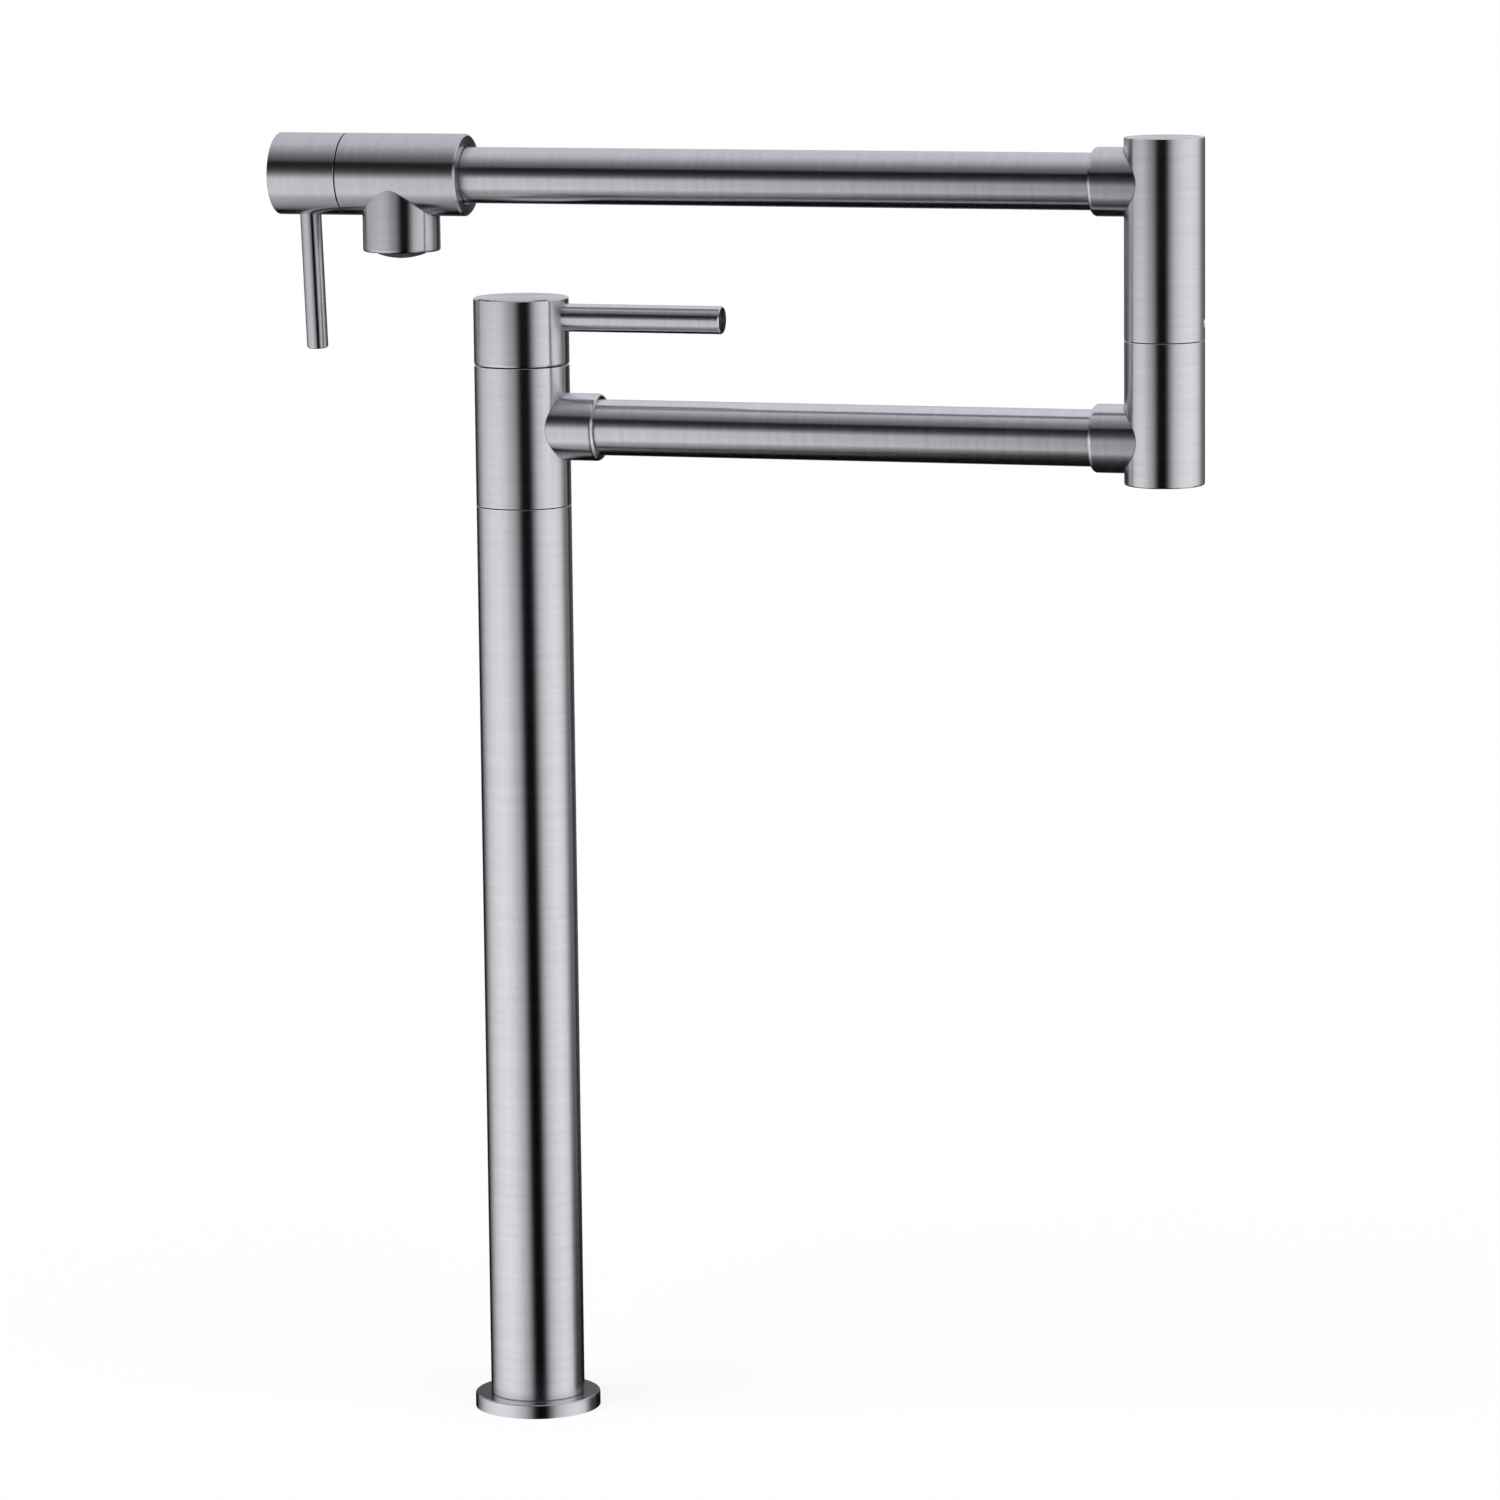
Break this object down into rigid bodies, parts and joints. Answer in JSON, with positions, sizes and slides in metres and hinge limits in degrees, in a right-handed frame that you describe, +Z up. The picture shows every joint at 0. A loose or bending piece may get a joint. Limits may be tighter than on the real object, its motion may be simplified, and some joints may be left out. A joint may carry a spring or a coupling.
{
  "type": "pot filler",
  "caption": "Deck-mounted folding pot filler: tall column with a lever tap, swivelling lower arm, elbow post, and upper arm ending in a spout with its own lever tap and aerator.",
  "frame": {"origin": "centre of the base's underside, on the column's axis, in the plane of the deck", "axes": "+Z up the column, +X along the lower arm from the column to the elbow post, and the upper arm is folded back towards -X"},
  "size_m": [0.3985, 0.0536, 0.5447],
  "materials": {
    "brushed_steel": "stainless steel, satin, brushed round each piece",
    "plain_steel": "plain drawn or turned stainless steel",
    "turned_brass": "turned",
    "seal_rubber": "moulded, matt black",
    "white_washer": "low-friction plastic, matt white",
    "ceramic_disc": "lapped alumina ceramic",
    "dark_screen": "moulded dark grey"
  },
  "bodies": {
    "column": {"base_flange": "brushed_steel", "deck_gasket": "seal_rubber", "base_plug": "turned_brass", "riser_tube": "brushed_steel", "supply_pipe": "plain_steel", "column_core": "turned_brass", "column_rings": "seal_rubber", "lower_thrust_washer": "white_washer", "upper_thrust_washer": "white_washer", "swivel_nut": "turned_brass", "column_cartridge_sleeve": "turned_brass", "column_cartridge_seal": "seal_rubber", "column_fixed_disc": "ceramic_disc", "column_stem_ring": "seal_rubber"},
    "lower_arm": {"swivel_body": "brushed_steel", "lower_arm_inner_collar": "brushed_steel", "lower_arm_tube": "brushed_steel", "lower_arm_outer_collar": "brushed_steel", "lower_post": "brushed_steel", "elbow_spindle": "turned_brass", "elbow_rings": "seal_rubber", "elbow_thrust_washer": "white_washer"},
    "upper_arm": {"upper_post": "brushed_steel", "elbow_set_screw": "plain_steel", "upper_arm_collar": "brushed_steel", "upper_arm_tube": "brushed_steel", "spout_valve_body": "brushed_steel", "spout_outlet": "brushed_steel", "aerator_housing": "dark_screen", "aerator_screen": "dark_screen", "aerator_seal": "seal_rubber", "spout_cartridge_sleeve": "turned_brass", "spout_cartridge_seal": "seal_rubber", "spout_fixed_disc": "ceramic_disc", "spout_stem_ring": "seal_rubber"},
    "column_handle": {"column_handle_hub": "brushed_steel", "column_lever": "brushed_steel", "column_grub_screw": "plain_steel", "column_stem": "turned_brass", "column_moving_disc": "ceramic_disc"},
    "spout_handle": {"spout_handle_hub": "brushed_steel", "spout_lever": "brushed_steel", "spout_grub_screw": "plain_steel", "spout_stem": "turned_brass", "spout_moving_disc": "ceramic_disc"}
  },
  "joints": [
    {"name": "arm_swivel", "type": "hinge", "parent": "column", "child": "lower_arm", "pos_m": [0, 0, 0.4217], "axis": [0, 0, 1], "continuous": true},
    {"name": "elbow_swivel", "type": "hinge", "parent": "lower_arm", "child": "upper_arm", "pos_m": [0.276, 0, 0.4623], "axis": [0, 0, 1], "continuous": true},
    {"name": "column_tap", "type": "hinge", "parent": "column", "child": "column_handle", "pos_m": [0, 0, 0.4674], "axis": [0, 0, 1], "range_deg": [0, 90]},
    {"name": "spout_tap", "type": "hinge", "parent": "upper_arm", "child": "spout_handle", "pos_m": [-0.0935, 0, 0.5264], "axis": [-1, 0, 0], "range_deg": [0, 90]}
  ]
}
